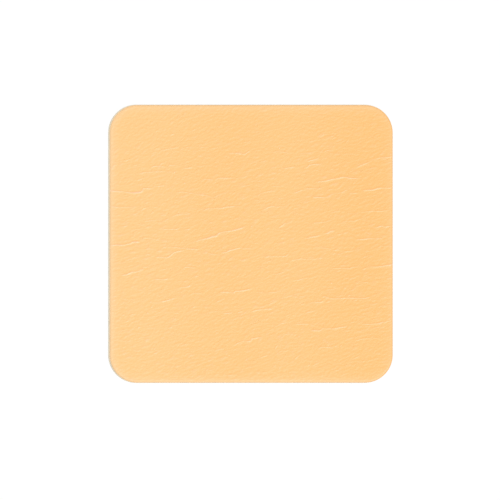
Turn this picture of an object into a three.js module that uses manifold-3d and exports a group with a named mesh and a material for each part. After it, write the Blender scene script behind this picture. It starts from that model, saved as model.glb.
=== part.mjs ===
// A silicone foam dressing: an absorbent foam pad under a thin wrinkled film, with a soft silicone layer
// on the side that lies on the skin. The three are bonded face to face and cut to one outline.
// Millimetres, +Z up, film side up. X runs along the pad's width and Y along its height.
// The origin is at the middle of the underside.

import * as THREE from "three";
import Module from "manifold-3d";

const wasm = await Module();
wasm.setup();

// Outline of the cut pad, measured at the underside.
const padWidth = 102.5;
const padHeight = 100;
const cornerRadius = 10.1;
const cornerSteps = 8;

// The three bonded layers.
const siliconeThickness = 0.25;
const foamThickness = 4.1;
const filmThickness = 0.15;

// The cut edge leans out towards the underside and is soft along the top.
const edgeFlare = 0.25;
const edgeRadius = 0.4;
const edgeSteps = 3;

// The film stands up from the foam in creases of four kinds, from the boldest to the faintest.
const boldCreaseHeight = 0.12;
const boldCreaseWidth = 0.7;
const highCreaseHeight = 0.1;
const highCreaseWidth = 0.65;
const lowCreaseHeight = 0.08;
const lowCreaseWidth = 0.6;
const faintCreaseHeight = 0.06;
const faintCreaseWidth = 0.55;

// A crease starts this deep in the film, is this high there at its tips and has a section this often.
const creaseDepth = 0.05;
const creaseTip = 0.02;
const creaseStep = 1.2;

// How quickly a crease rises from its tips. A lower power is steeper.
const creaseTaper = 0.4;

// Crest points of the creases, in hundredths of the pad's width and height from its middle.
const boldCreases = [
  [
    [-48.6, 19.1], [-46.5, 19], [-44.7, 18.8], [-42.1, 18.5], [-40.1, 18.6],
    [-38.6, 19], [-38.2, 19.9], [-37.3, 20.1], [-34.8, 20]
  ],
  [
    [22.8, 21.9], [24, 22.5], [26.2, 22.8], [28.3, 23.3], [30.4, 23.7],
    [32, 24.1], [33.6, 24], [35, 23.7], [39.4, 23.7]
  ],
  [[38.5, 19.3], [40.6, 19.4], [42.7, 19.5], [44.1, 19.9], [45.2, 20.2], [48.6, 20.3]],
  [
    [-48.6, -0.4], [-48.2, -0.3], [-46.5, -0.3], [-44.9, -0.3],
    [-43.6, 0.1], [-42.6, 0.3], [-41.7, 0.8], [-39.1, 0.8]
  ],
  [
    [-21.3, 0.5], [-19.7, 1.1], [-17.6, 1.7], [-15.6, 2.1], [-14, 2.6], [-12.4, 3],
    [-11.7, 3.7], [-10.9, 4.2], [-8.7, 4.5], [-6.6, 4.9], [-4.5, 5.5], [-2.4, 5.9]
  ],
  [[-46.3, -11.2], [-44, -10.9], [-42.9, -10.4], [-42.1, -10], [-40.8, -9.9], [-38.7, -9.5]],
  [[38.7, -9], [40.1, -8.7], [41.3, -8.2], [43.8, -8.1], [45.9, -7.9], [48.6, -7.4]],
];

const highCreases = [
  [[-18.3, 22.9], [-16.5, 23.4], [-13.2, 23.2], [-11.6, 23.7], [-7.7, 23.8], [-3.8, 23.4]],
  [[-8.7, 32.9], [-7.7, 32.8], [-5.2, 32.7], [-2.6, 32.4], [-1.2, 33.1], [0.1, 33.8]],
  [[14.7, 18.3], [16.3, 18.8], [17.3, 19.3], [19.5, 19.6]],
  [[36.7, 27.1], [38.5, 28.3], [41, 29.3], [42.5, 30.1], [43.8, 30.6], [45.7, 31], [48.6, 31.4]],
  [
    [21.2, 16.9], [24.4, 16.9], [26.2, 16.8], [27.2, 17.4], [28.3, 17.9],
    [31.1, 18.4], [32.5, 18.9], [33.2, 19.3], [34.6, 19.6]
  ],
  [
    [-34.1, -4.8], [-32.7, -4.7], [-31.3, -4.7], [-29.9, -4.8],
    [-28.8, -4.3], [-27.8, -3.4], [-26.4, -2.7], [-23.6, -2.2]
  ],
  [[-35, -12.7], [-32.7, -12.6], [-30.6, -12.6], [-29.1, -12.2]],
  [[-25.7, -15.5], [-23.2, -15.4], [-22.1, -15.1], [-20.9, -14.4]],
  [[-16.7, 12.4], [-15.1, 12.8], [-12.6, 13], [-10.5, 13], [-9.1, 13.3], [-6.6, 13.6], [-3.3, 13.6]],
  [[9.2, 5.3], [10.2, 6.3], [11.3, 7.1], [12.5, 8]],
  [[-11.2, -2.9], [-9.1, -2.9], [-7.7, -2.4], [-6.3, -1.9], [-4, -1.4], [-2, -1.6], [0.2, -1.4]],
  [[4.3, -4.7], [7.1, -4.4], [10.3, -4.3], [12.1, -4.3], [12.6, -3.8], [13.4, -3.1]],
  [[-11.6, -17.2], [-8.7, -17.2], [-6.3, -17.4], [-5.6, -16.9], [-3.1, -16.7], [0.1, -15.9]],
  [[18.4, 2.2], [19.8, 2.2], [21.2, 2.6], [23, 2.9], [24.7, 3.5]],
  [[25.5, 3.9], [26.9, 4], [27.9, 4.5], [29.7, 5]],
  [[36.7, 0.9], [37.4, 1.7], [39.6, 1.8], [42.4, 2.1], [46.8, 2]],
  [[-32.5, -20.7], [-30.3, -20.4], [-28.8, -19.9], [-26.4, -19.2]],
  [
    [-6.3, -36.5], [-4.3, -35.3], [-2.8, -34.8], [-0.4, -34.8],
    [0.1, -34.1], [1.1, -33.8], [3.9, -33.4]
  ],
  [[-0.5, -24.5], [0.8, -24], [3.1, -23.5], [5.4, -23.3], [7.8, -23.2]],
  [
    [24.7, -19], [25.8, -18.8], [26.9, -19.2], [29.3, -19.5], [31.4, -19.5],
    [33.9, -19.4], [39.2, -19.4], [41, -19.2], [42.4, -18.8]
  ],
  [[19.6, -21.6], [21.2, -21], [24, -20.8], [25.9, -20.3]],
  [[19, -25.1], [20, -24.4], [21.2, -24.2], [23.5, -23.7]],
  [
    [20.5, -31], [22.3, -31], [24.2, -31], [25.1, -30.3], [27.2, -30.3],
    [29.3, -30.4], [30.4, -30.1], [31.8, -29.8], [32.9, -29.7], [34.1, -29.3]
  ],
  [
    [38.8, -28.7], [41.3, -28.7], [43.4, -28.6], [45.2, -28.3],
    [46.3, -28], [47.3, -27.9], [48.6, -27.4]
  ],
];

const lowCreases = [
  [[-48.6, 29.5], [-47, 29.4], [-45.8, 29.8], [-44, 30.1], [-42.8, 30.7]],
  [[-32.4, 33.4], [-30.3, 34], [-28.8, 34.3], [-25.3, 34.9]],
  [[-35.9, 27.5], [-34.5, 28], [-32, 28.1], [-30.3, 27.8]],
  [[-29.5, 27.6], [-28.6, 28.4], [-27.4, 28.3], [-24.8, 28.8]],
  [[-24.6, 27.5], [-22.1, 27.4], [-20.7, 28]],
  [[-40.1, 25.1], [-38.4, 25.7], [-35.4, 26], [-30.3, 26.1]],
  [[-35.5, 20.5], [-33.1, 20.8], [-31.3, 21], [-30.3, 21.4]],
  [
    [-27.1, 18.3], [-26, 18.7], [-24.3, 18.8], [-21.4, 18.4], [-17.9, 17.7],
    [-15.8, 17.5], [-14.2, 17], [-13.2, 16.9], [-11.4, 17.7]
  ],
  [[6.8, 32.9], [8.9, 33.3], [11, 33.1], [13.8, 32.6]],
  [[11, 27], [13.1, 27.5], [15.6, 27.8]],
  [[1.8, 17.4], [3.9, 18.3], [6.1, 19], [8.2, 19.4]],
  [[18.2, 20.1], [21.6, 20.1], [24.9, 20.4]],
  [[33.9, 25.9], [35.5, 26.2], [36.7, 27]],
  [[33.6, 18.4], [35.7, 18.4], [37.8, 18.4]],
  [[25.1, 32.9], [26.5, 33.5], [27.9, 33.8]],
  [[19.1, 29.7], [20.5, 30], [23, 30.7], [24.7, 31.4]],
  [[18.4, 27.2], [19.6, 27.6], [20.7, 28.5], [24.4, 28.9]],
  [[-48.6, 13.5], [-46.8, 13.2], [-44.4, 13.3], [-42.6, 13.3], [-40.5, 13.6]],
  [[-38.4, 8.5], [-36.2, 8.4], [-34.5, 8.6], [-32.7, 8.7], [-30.1, 9.1]],
  [[-30.1, 10], [-28.1, 9.9], [-26.4, 10.5], [-22.8, 10.9], [-21.1, 11.5]],
  [[-31.8, 5.3], [-29.5, 5.4], [-26.7, 5.4], [-25, 5.8]],
  [[-40.5, -4], [-38.4, -4.1], [-37, -3.9], [-35.8, -3.4]],
  [[-32, -1.1], [-28.5, -1], [-25, -1.3], [-21.4, -1.7], [-18.3, -1.8]],
  [[-24.6, -8.9], [-23.6, -8.5], [-22.7, -8.2], [-19, -8.6]],
  [[3.1, 12.1], [4.7, 12.6], [5.9, 13.2], [7.3, 13.6], [9.2, 13.4], [10.6, 13.6], [13.8, 13.6]],
  [[13.5, -5.8], [15.9, -5.5], [17.7, -5.2], [19.1, -5.4], [21.6, -5.3], [23.7, -5.2], [25.8, -5]],
  [[11.3, -8.8], [13.5, -8.9], [14.5, -8.4], [16.5, -7.7]],
  [[7.5, -10.8], [9.9, -10.6], [11, -10.1], [12.1, -9.5]],
  [[14.9, -12.9], [16.3, -12.9], [17.7, -12.5], [18.9, -11.9]],
  [[-2.8, -14.6], [-2.3, -13.8], [-0.8, -13.5]],
  [[27.7, 11.3], [29.3, 11.6], [30.4, 11.9], [32, 12]],
  [[21.2, 7.7], [24, 7.8], [26.2, 8.1], [27.9, 8.6], [29.1, 9.1]],
  [[31.8, 7.7], [33.2, 8.3], [35, 8.4], [36.4, 8.4], [37.8, 8.9], [41, 9.9]],
  [[38.1, 11.5], [41, 11.7], [43.4, 11.9], [45.9, 11.9], [48.6, 12.3]],
  [[44.3, 6], [45.5, 6.4], [48.6, 6.5]],
  [[44.1, -1.6], [44.8, -1.1], [45.9, -0.6], [48.6, -0.7]],
  [[28.3, -2.4], [29.9, -2.1], [30.9, -1.7]],
  [[27.7, -9], [30, -8.6], [32.1, -8.6], [34.8, -8.6], [35.5, -8.3], [37.4, -8.3], [38.6, -7.7]],
  [[17.5, -10.9], [18.8, -10.3], [21, -10.2]],
  [[-45.9, -25.8], [-44.4, -25.1]],
  [[-43.5, -25.9], [-42.2, -25.3], [-40.7, -25]],
  [[-40.1, -30.2], [-39.2, -29.5]],
  [[-34.7, -39.6], [-33.1, -38.9]],
  [[-10.5, -24.8], [-7.9, -24.9], [-6.3, -24.2]],
  [[-5.2, -25], [-4.5, -24.5], [-2.9, -24.1]],
  [[6.1, -22.1], [6.7, -21.4], [7.9, -21]],
  [[9.9, -28.5], [11.7, -28.3], [13, -27.8]],
  [[8.9, -35.2], [9.9, -34.1], [11, -33.2], [12.2, -32.4], [16.3, -32.4]],
  [[8.2, -38.4], [8.8, -36.8], [9.9, -35.9]],
  [[15.9, -33.5], [17, -33], [18.2, -32.5]],
  [[15, -41.5], [15.9, -40.7], [17.1, -40]],
  [[15.2, -28.7], [18, -28.7], [20.5, -28.8]],
  [[17.3, -21.7], [18.8, -21.3]],
  [[34.3, -29.2], [34.8, -28.4], [36, -28], [38.8, -27.7]],
  [[23.2, -37.8], [24.4, -37.1], [27.2, -37], [29, -36.9]],
  [[29.3, -36.8], [30.2, -36.4]],
  [[31.2, -36.9], [31.9, -36]],
  [[21.8, -44.1], [22.3, -43.2], [23.3, -42.8], [23.9, -42.1]],
];

const faintCreases = [
  [[-24.3, 34.5], [-22.1, 34.9], [-20.7, 34.9]],
  [[-28.1, 32.7], [-27.1, 33.1], [-25.3, 33.5]],
  [[-41.2, 22.9], [-39.1, 23.3], [-37.7, 24]],
  [[-31, 21.9], [-29.2, 22.3], [-27.4, 23.1], [-24.6, 23.9], [-21.4, 24.9]],
  [[-30.3, 19.7], [-28.8, 20.1]],
  [[-44.7, 32.7], [-43.6, 33.6], [-42.6, 34.3]],
  [[-39.1, 32.3], [-37.5, 32.9]],
  [[-35.4, 31.8], [-33.8, 32.4]],
  [[-28.8, 39.1], [-26.9, 39.8]],
  [[-21.8, 40.5], [-20.7, 40.8], [-19.3, 41.6]],
  [[-2.9, 23.7], [-2, 24.3], [-1.2, 25]],
  [[10.3, 37.3], [12.2, 38.2]],
  [[3.9, 29.6], [5.5, 30.4]],
  [[-4.7, 21.3], [-2.6, 21], [-0.3, 21.3]],
  [[-13.2, 21.2], [-11.6, 21.8]],
  [[-7, 18.1], [-5.7, 18.6]],
  [[26.2, 26], [27.2, 26.6], [29.3, 27.3]],
  [[22.6, 26.2], [23.7, 26.8]],
  [[17.7, 34.1], [19.8, 34.4]],
  [[-41.2, 11.7], [-39.8, 11.9], [-38.7, 12.2], [-37.7, 12.8], [-35.9, 13.2]],
  [[-35.5, 10.7], [-34.7, 11.7]],
  [[-45.8, 7.6], [-44.7, 8], [-43.3, 8.7]],
  [[-45.4, 6.1], [-43.3, 6.9]],
  [[-38, 5.9], [-37, 6.1], [-35.5, 6.5]],
  [[-24.1, 5.1], [-22.8, 5.3], [-21.3, 5.5]],
  [[-42.9, 2.2], [-41.9, 2.8], [-40.5, 3.8]],
  [[-41.9, 4.2], [-39.8, 4.8]],
  [[-39.4, 2.1], [-37.3, 2.2], [-34.8, 2], [-32.7, 1.6], [-30.6, 1.5]],
  [[-37.8, -2], [-37, -1.7], [-35.7, -0.5]],
  [[-16.9, -2.9], [-14.4, -3.4], [-10.9, -3.9]],
  [[-19.9, -3.1], [-17.7, -2.5]],
  [[-28.7, -9.5], [-27.8, -9.1], [-26.6, -8.6]],
  [[-32.2, -9.2], [-30.3, -8.9], [-29.2, -8.3]],
  [[-38.3, -16.1], [-37.3, -15.4]],
  [[4.5, 4.7], [5.7, 5.6], [7.1, 5.8]],
  [[13.6, 9], [14.9, 9.4], [17.3, 9.8]],
  [[-18.1, 7.9], [-16.9, 8.4], [-15.1, 8.9]],
  [[4.3, -12.5], [6.1, -11.7]],
  [[3.4, -8.8], [4.5, -8.5]],
  [[4.9, -8.5], [6.1, -7.7]],
  [[10.3, 1.8], [11.7, 2.4]],
  [[-3.8, 15.8], [-2.2, 16.8]],
  [[32.5, 1.3], [33.9, 1.8]],
  [[24.4, -1.4], [28.3, -1.5]],
  [[21.7, -1.5], [23.3, -0.8]],
  [[31.1, -2.2], [32.9, -2.6], [35, -2.4], [36.7, -2]],
  [[25.6, -10.1], [26.9, -9.6], [29.3, -9.1]],
  [[28.6, -12.7], [30.4, -12.1], [31.8, -11.6]],
  [[31.3, -13.1], [32.5, -12.5], [34.6, -12]],
  [[36.7, -14.1], [39.2, -13.9], [41.7, -13.5]],
  [[25.5, -16.5], [27.9, -16.2], [30.6, -15.7]],
  [[15.9, -15.4], [18.2, -15.4], [19.5, -14.7]],
  [[21, -16.3], [21.7, -15.7]],
  [[-21.8, -18.1], [-20, -17.6], [-17.9, -17.5], [-16.9, -16.9]],
  [[-21.4, -22.6], [-18.4, -22.4]],
  [[-44.4, -27.9], [-43.1, -27.4]],
  [[-27.8, -27.4], [-26.2, -26.7]],
  [[-26.4, -28.7], [-24.3, -27.9]],
  [[-29.5, -30.3], [-27.8, -29.7]],
  [[-34.1, -18.7], [-32.3, -18]],
  [[-24.1, -22.6], [-23, -22.2]],
  [[-48.6, -24.6], [-48.2, -24.4]],
  [[-16.1, -24.5], [-13.7, -24.3], [-11.2, -24]],
  [[-2.6, -24.8], [-1.7, -24.2]],
  [[-6.6, -27.4], [-5, -26.3], [-2.4, -26.1]],
  [[8.4, -22.9], [9, -21.8]],
  [[9.9, -19.8], [12.1, -19], [13.8, -18.8], [16.3, -18.7]],
  [[11.3, -26.2], [12.4, -25.6], [14.3, -25.1]],
  [[-0.2, -28.6], [2.1, -27.7]],
  [[6.5, -31], [8.4, -29.7]],
  [[2.2, -41.1], [4.7, -40.2], [6.4, -39.6]],
  [[7.3, -40.2], [8.9, -39.5], [10.6, -38.4], [13.8, -37.9]],
  [[15.1, -37.5], [16.5, -37]],
  [[-13, -32], [-11.7, -31.6]],
  [[41.7, -27.3], [43.4, -26.9], [45.4, -26.7]],
  [[35.7, -34.7], [37.4, -34.5], [38.8, -34.1], [40.6, -33.8], [45.9, -33.9]],
  [[21.1, -37.5], [21.9, -36.7]],
  [[19.6, -44], [21, -43.1]],
  [[20.4, -28.2], [22.1, -29.6]],
  [[44.5, -20.2], [45.2, -19.6], [48.5, -18.8]],
  [[35.1, -26.9], [35.9, -26], [37.2, -25.3]],
];

const foamTop = siliconeThickness + foamThickness;
const filmTop = foamTop + filmThickness;

// The pad's outline, drawn in from the underside's by an inset and counter-clockwise from above.
function outline(inset, z) {
  const radius = cornerRadius - inset;
  const points = [];
  for (let corner = 0; corner < 4; corner++) {
    const sideX = corner === 0 || corner === 3 ? 1 : -1;
    const sideY = corner < 2 ? 1 : -1;
    for (let step = 0; step <= cornerSteps; step++) {
      const angle = (corner + step / cornerSteps) * (Math.PI / 2);
      points.push([
        sideX * (padWidth / 2 - cornerRadius) + radius * Math.cos(angle),
        sideY * (padHeight / 2 - cornerRadius) + radius * Math.sin(angle),
        z,
      ]);
    }
  }
  return points;
}

// A closed solid through rings of points. A ring runs counter-clockwise seen from the last ring's end.
function loft(rings) {
  const count = rings[0].length;
  const last = (rings.length - 1) * count;
  const index = [];
  for (let i = 1; i < count - 1; i++) {
    index.push(0, i + 1, i);
    index.push(last, last + i, last + i + 1);
  }
  for (let start = 0; start < last; start += count) {
    for (let i = 0; i < count; i++) {
      const a = start + i;
      const b = start + ((i + 1) % count);
      index.push(a, b, b + count, a, b + count, a + count);
    }
  }
  const geometry = new THREE.BufferGeometry();
  geometry.setAttribute("position", new THREE.Float32BufferAttribute(rings.flat(2), 3));
  geometry.setIndex(index);
  return geometry;
}

// A layer of the pad, from a profile of [inset, height] that runs from its underside to its top.
function layer(profile) {
  return loft(profile.map(([inset, z]) => outline(inset, z)));
}

// The profile of the soft top edge, from the side up to the flat, for the foam or for the film's outside.
function softEdge(radius) {
  const profile = [];
  for (let step = 0; step <= edgeSteps; step++) {
    const angle = (step / edgeSteps) * (Math.PI / 2);
    profile.push([
      edgeFlare + edgeRadius - radius * Math.cos(angle),
      foamTop - edgeRadius + radius * Math.sin(angle),
    ]);
  }
  return profile;
}

// A ridge of the film along its crest points, seated in the film and sinking into it at both tips.
function crease(points, width, height) {
  const crest = new THREE.CatmullRomCurve3(
    points.map(([x, y]) => new THREE.Vector3((x * padWidth) / 100, (y * padHeight) / 100, 0)),
    false,
    "centripetal",
  );
  const steps = Math.max(3, Math.round(crest.getLength() / creaseStep));
  const seat = filmTop - creaseDepth;
  const rise = creaseDepth + height;
  const rings = [];
  for (let step = 0; step <= steps; step++) {
    const along = step / steps;
    const at = crest.getPointAt(along);
    const ahead = crest.getTangentAt(along);
    const size = Math.max(creaseTip / rise, Math.sin(Math.PI * along) ** creaseTaper);
    const reach = (size * width) / 2;
    rings.push([
      [at.x - reach * ahead.y, at.y + reach * ahead.x, seat],
      [at.x, at.y, seat + size * rise],
      [at.x + reach * ahead.y, at.y - reach * ahead.x, seat],
    ]);
  }
  return loft(rings);
}

function toSolid(geometry) {
  return new wasm.Manifold(
    new wasm.Mesh({
      numProp: 3,
      vertProperties: geometry.attributes.position.array,
      triVerts: new Uint32Array(geometry.index.array),
    }),
  );
}

function toGeometry(solid) {
  const { vertProperties, triVerts } = solid.getMesh();
  const geometry = new THREE.BufferGeometry();
  geometry.setAttribute("position", new THREE.BufferAttribute(vertProperties, 3));
  geometry.setIndex(new THREE.BufferAttribute(triVerts, 1));
  return geometry;
}

function siliconeGeometry() {
  return layer([
    [0, 0],
    [0, siliconeThickness],
  ]);
}

function foamGeometry() {
  return layer([[0, siliconeThickness], ...softEdge(edgeRadius)]);
}

function filmGeometry() {
  const sheet = layer([...softEdge(edgeRadius).reverse(), ...softEdge(edgeRadius + filmThickness)]);
  const ridges = [
    ...boldCreases.map((points) => crease(points, boldCreaseWidth, boldCreaseHeight)),
    ...highCreases.map((points) => crease(points, highCreaseWidth, highCreaseHeight)),
    ...lowCreases.map((points) => crease(points, lowCreaseWidth, lowCreaseHeight)),
    ...faintCreases.map((points) => crease(points, faintCreaseWidth, faintCreaseHeight)),
  ];
  return toGeometry(ridges.reduce((film, ridge) => film.add(toSolid(ridge)), toSolid(sheet)));
}

function piece(name, geometry, color, roughness) {
  geometry.computeVertexNormals();
  const material = new THREE.MeshStandardMaterial({ color, roughness, metalness: 0, flatShading: true });
  const mesh = new THREE.Mesh(geometry, material);
  mesh.name = name;
  return mesh;
}

const dressing = new THREE.Group();
dressing.add(
  piece("silicone_contact_layer", siliconeGeometry(), 0xe9ddc8, 0.35),
  piece("foam_pad", foamGeometry(), 0xeed9b4, 0.95),
  piece("backing_film", filmGeometry(), 0xfece8e, 0.45),
);

export default dressing;
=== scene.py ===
"""The looks of a silicone foam dressing: a wrinkled film over a cut foam pad on a soft silicone layer.

Metres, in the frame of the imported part: X along the pad's width, Y along its height, +Z up, film side up.
"""

import bpy
import numpy as np
from mathutils import Matrix, Vector


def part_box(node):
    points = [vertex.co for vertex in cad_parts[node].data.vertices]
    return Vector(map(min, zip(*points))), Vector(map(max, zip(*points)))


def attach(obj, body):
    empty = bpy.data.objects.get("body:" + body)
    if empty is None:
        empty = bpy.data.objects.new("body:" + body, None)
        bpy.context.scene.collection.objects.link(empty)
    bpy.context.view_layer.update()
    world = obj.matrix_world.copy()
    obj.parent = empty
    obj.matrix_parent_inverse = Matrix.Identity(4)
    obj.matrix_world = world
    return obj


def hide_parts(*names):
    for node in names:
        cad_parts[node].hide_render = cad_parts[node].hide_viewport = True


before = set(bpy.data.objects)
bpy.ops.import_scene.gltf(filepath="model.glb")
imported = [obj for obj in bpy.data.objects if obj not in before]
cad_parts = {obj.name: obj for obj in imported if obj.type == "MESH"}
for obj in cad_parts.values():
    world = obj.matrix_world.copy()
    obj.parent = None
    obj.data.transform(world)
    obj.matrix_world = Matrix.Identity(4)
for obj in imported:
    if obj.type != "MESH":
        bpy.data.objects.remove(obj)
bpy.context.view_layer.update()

MM = 0.001

# The pad's shape, from the frame and the named sizes of its source.
pad_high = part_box("silicone_contact_layer")[1]
foam_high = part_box("foam_pad")[1]
half_width = pad_high.x
half_height = pad_high.y
corner_radius = 10.1 * MM
edge_flare = 0.25 * MM
edge_radius = 0.4 * MM
film_thickness = 0.15 * MM
edge_middle = edge_flare + edge_radius
foam_top = foam_high.z
film_radius = edge_radius + film_thickness
roll_bottom = foam_top - edge_radius

# The film is cut this much larger than the pad's outline on each side, because it rolls over the edge.
spare = film_radius * np.pi / 2 - edge_middle

# The steps of the film's mesh, and how many lines it has round the soft edge, outside and inside.
film_step_x = 0.37 * MM
film_step_y = 0.33 * MM
roll_lines = 7
lip_lines = 4

# The film's relief. It is a little stronger towards the left side than towards the right.
wrinkle_height = 0.0073 * MM
grain_height = 0.0024 * MM
undulation_height = 0.015 * MM
relief_slope = 0.16

# Three places of the film have a grain of their own: the upper left corner, where it runs steeply, a patch
# low in the middle, where creases run both ways, and the middle of the top side, where it is smoothest.
corner_near = 22 * MM
corner_far = 46 * MM
foot_middle = (13 * MM, -39 * MM)
foot_spread = (22 * MM, 13 * MM)
calm_middle = (5 * MM, 46 * MM)
calm_spread = (28 * MM, 14 * MM)

# How the film's look changes from place to place: painted light at its rim, strongest at the left, the hazy
# edge, the height of a full crest, whose colour is partly painted highlight, and a painted sheen, strongest
# at the left, with broad bands of painted sheen and shade that run up the film.
rim_light = 0.74
rim_light_slope = (-0.38, 0.02)
rim_width = 0.5 * MM
rim_fade = 1.2 * MM
edge_fade = 1.2 * MM
full_crest = 0.125 * MM
# The painted sheen: its middle level, its fall from left to right, and broad bands of painted sheen and
# shade.
sheen_middle = 0.42
sheen_slope = 0.38
sheen_and_shade_band = 0.1
sheen_and_shade_band_place = 15 * MM
sheen_and_shade_band_length = 52 * MM

# The foam's cut wall: the steps of its mesh, and its open cells, which are shallow cups and fade out
# towards the film and the silicone. Its soft edge lies a hair under the film.
foam_step = 0.15 * MM
foam_levels = 27
foam_edge_lines = 4
foam_gap = 0.01 * MM
pore_fade_top = 0.3 * MM
pore_fade_bottom = 0.2 * MM
pore_count = 11000
pore_radius = 0.23 * MM
pore_share = 0.28

# The silicone layer: the step round its outline, and its section from the underside to the top, as how
# far it lies in from the outline and how high.
silicone_step = 0.4 * MM
silicone_section = MM * np.array(
    [(0.6, 0.0), (0.05, 0.0), (0.012, 0.03), (0.0, 0.09), (0.0, 0.2), (0.03, 0.25)]
)

# Creases stand up from the film as narrow ridges. Height and half-width of each kind, boldest first.
crease_sizes = {
    "bold": (0.050 * MM, 0.23 * MM),
    "high": (0.035 * MM, 0.21 * MM),
    "low": (0.024 * MM, 0.19 * MM),
    "faint": (0.016 * MM, 0.18 * MM),
    "finest": (0.012 * MM, 0.17 * MM),
}
crease_step = 0.22 * MM
crease_ramp = 1.5 * MM
crease_unevenness = 0.38
crease_lift = 0.002 * MM
side_margin = 0.2 * MM

# The points of a crease's section, in half-widths from its crest. The outermost are tucked into the film.
tucked_from = 2
crease_section = np.array([2.4, 1.7, 1.2, 0.8, 0.4, 0, -0.4, -0.8, -1.2, -1.7, -2.4])

# Short fine creases lie between the others, more of them than the eye counts. Ways are in degrees.
fine_crease_count = 620
fine_crease_height = 0.0075 * MM
fine_crease_width = 0.17 * MM
fine_crease_step = 0.3 * MM
fine_crease_section = np.array([2.3, 1.2, 0.55, 0, -0.55, -1.2, -2.3])
fine_crease_lengths = (1.2 * MM, 4.5 * MM)
fine_crease_points = 5
fine_crease_waver = 0.06
fine_crease_margin = 3 * MM
grain_way = 13
corner_turn = 27
way_spread = 8
foot_ways = [-50, 50]
foot_way_spread = 18

# Tiny blisters of the film catch the light as specks.
speck_height = 0.05 * MM
speck_length = 0.7 * MM
speck_width = 0.2 * MM

# Where the photograph shows the pad: pixels a metre along X, which the camera's lean shortens, and along Y,
# and the pixel of the pad's middle. A crease point beyond the reach is moved in to it, along X.
pixels_a_metre = np.array([2767.3, 2782.6])
middle_pixel = np.array([250.809, 243.79])
crease_reach = 0.98 * half_width

# Crest points of the creases, read in pixels of the photograph.
bold_creases = [
    [
        (112, 191), (119, 191.2), (124, 191.8), (131.5, 192.7), (137, 192.4),
        (141.3, 191.1), (142.4, 188.6), (145, 188.2), (152, 188.4),
    ],
    [
        (315.5, 183), (319, 181.5), (325, 180.7), (331, 179.3), (337, 178.2),
        (341.5, 177), (346, 177.2), (350, 178.1), (362.5, 178.1),
    ],
    [(360, 190.3), (366, 190), (372, 189.8), (376, 188.8), (379, 187.9), (391, 187.6)],
    [
        (109.5, 245.2), (114, 245), (119, 244.9), (123.5, 245),
        (127, 243.9), (130, 243.2), (132.5, 241.9), (140, 241.9),
    ],
    [
        (190.5, 242.6), (195, 241.1), (201, 239.4), (206.5, 238.2), (211, 236.9), (215.5, 235.8),
        (217.5, 233.8), (220, 232.3), (226, 231.4), (232, 230.3), (238, 228.8), (244, 227.6),
    ],
    [(119.5, 275.2), (126, 274.4), (129, 272.9), (131.5, 272), (135, 271.5), (141, 270.6)],
    [(360.5, 269), (364.5, 268.2), (368, 266.8), (375, 266.7), (381, 266), (391, 264.6)],
]

high_creases = [
    [(199, 180.3), (204, 179), (213.5, 179.4), (218, 178), (229, 177.8), (240, 178.8)],
    [(226, 152.6), (229, 152.8), (236, 153), (243.5, 154), (247.5, 152), (251, 150)],
    [(292.5, 193.2), (297, 191.8), (300, 190.3), (306, 189.6)],
    [
        (355, 168.5), (360, 165.2), (367, 162.6), (371.5, 160.2),
        (375, 158.8), (380.5, 157.9), (391, 156.8),
    ],
    [
        (311, 197), (320, 197.1), (325, 197.2), (328, 195.7), (331, 194.3),
        (339, 192.8), (343, 191.5), (345, 190.2), (349, 189.6),
    ],
    [
        (154, 257.4), (158, 257), (162, 257.2), (166, 257.4),
        (169, 256), (172, 253.5), (176, 251.5), (184, 250.3),
    ],
    [(151.5, 279.3), (158, 279), (164, 279), (168.3, 278.1)],
    [(178, 287.2), (185, 286.8), (188, 286), (191.5, 284)],
    [(203.5, 209.6), (208, 208.4), (215, 208), (221, 208), (225, 207), (232, 206.3), (241.5, 206.2)],
    [(277, 229.2), (279.8, 226.6), (283, 224.4), (286.3, 221.8)],
    [(219, 252), (225, 252), (229, 250.6), (233, 249.3), (239.5, 247.8), (245, 248.6), (251.5, 247.8)],
    [(263, 257), (271, 256.4), (280, 256), (285, 256), (286.5, 254.6), (288.7, 252.6)],
    [(218, 292), (226, 292), (232.8, 292.4), (235, 291), (242, 290.5), (251, 288.4)],
    [(303, 238), (307, 238), (311, 236.8), (316, 236), (321, 234.2)],
    [(323, 233.2), (327, 232.9), (330, 231.4), (335, 230)],
    [(355, 241.5), (357, 239.3), (363, 239), (371, 238.3), (383.5, 238.5)],
    [(158.5, 301.6), (165, 300.9), (169, 299.4), (176, 297.5)],
    [
        (233, 345.5), (238.5, 342.2), (243, 340.9), (249.8, 340.8),
        (251.2, 338.8), (254, 338), (262, 336.9),
    ],
    [(249.5, 312.2), (253, 310.9), (259.5, 309.5), (266, 309), (273, 308.6)],
    [
        (321, 297), (324, 296.3), (327, 297.5), (334, 298.2), (340, 298.3),
        (347, 297.9), (362, 298.1), (367, 297.6), (371, 296.4),
    ],
    [(306.3, 304.1), (311, 302.5), (319, 302), (324.2, 300.5)],
    [(304.8, 313.9), (307.5, 312), (311, 311.4), (317.5, 309.9)],
    [
        (309, 330.4), (314, 330.2), (319.5, 330.2), (322, 328.3), (328, 328.4),
        (334, 328.5), (337, 327.7), (341, 327), (344, 326.6), (347.5, 325.6),
    ],
    [(361, 324), (368, 324), (374, 323.6), (379, 322.7), (382, 321.9), (385, 321.7), (391, 320.3)],
]

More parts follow.
